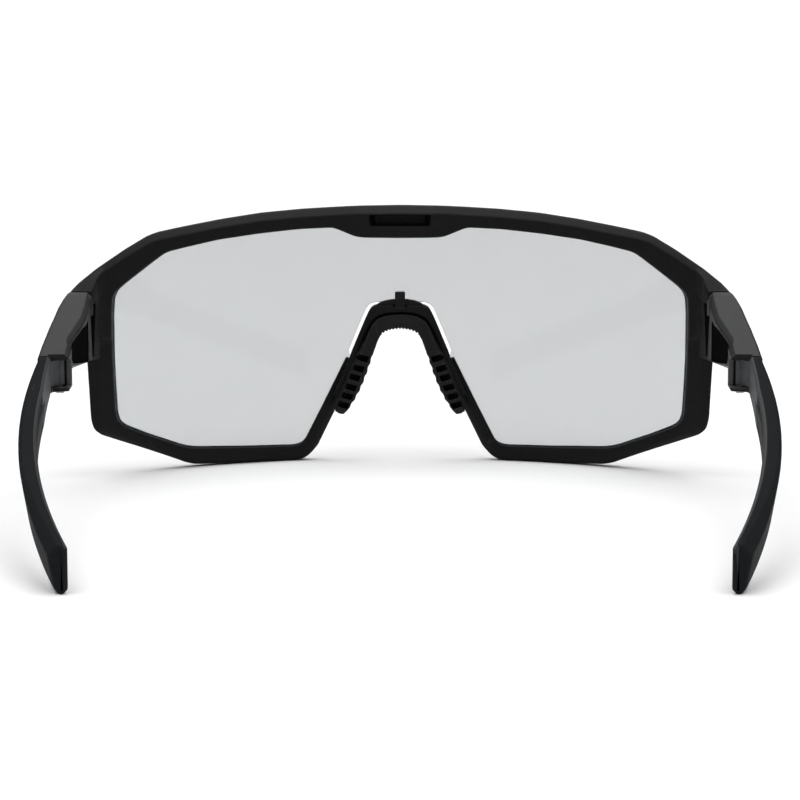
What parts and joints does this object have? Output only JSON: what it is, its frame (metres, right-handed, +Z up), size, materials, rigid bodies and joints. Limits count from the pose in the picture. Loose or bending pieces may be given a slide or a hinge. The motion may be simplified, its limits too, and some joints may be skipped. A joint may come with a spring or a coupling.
{
  "type": "wraparound sport sunglasses",
  "caption": "Wraparound shield sunglasses: full-rim front with a nose saddle, one curved lens and two arms that fold on pinned hinges.",
  "frame": {"origin": "middle of the footprint: the glasses stand on the lower edge of the front and on the tips of the open arms", "axes": "+Z up, -Y the way the wearer looks, +X towards the wearer's left"},
  "size_m": [0.1518, 0.1672, 0.0601],
  "materials": {
    "frame_nylon": "fine matte moulded black",
    "lens": "polished pale grey tint",
    "soft_rubber": "matte black soft rubber",
    "block_nylon": "satin charcoal",
    "arm_nylon": "matte slate black",
    "pin_steel": "turned steel"
  },
  "bodies": {
    "front": {"front_frame": "frame_nylon", "shield_lens": "lens", "nose_bracket": "frame_nylon", "nose_pad": "soft_rubber", "hinge_block_left": "block_nylon", "hinge_block_right": "block_nylon", "hinge_pin_left": "pin_steel", "hinge_pin_right": "pin_steel"},
    "arm_left": {"temple_arm_left": "arm_nylon", "temple_grip_left": "soft_rubber"},
    "arm_right": {"temple_arm_right": "arm_nylon", "temple_grip_right": "soft_rubber"}
  },
  "joints": [
    {"name": "left_arm_fold", "type": "hinge", "parent": "front", "child": "arm_left", "pos_m": [0.0718, -0.0194, 0.027], "axis": [0, 0, 1], "range_deg": [0, 90]},
    {"name": "right_arm_fold", "type": "hinge", "parent": "front", "child": "arm_right", "pos_m": [-0.0718, -0.0194, 0.027], "axis": [0, 0, -1], "range_deg": [0, 82]}
  ]
}
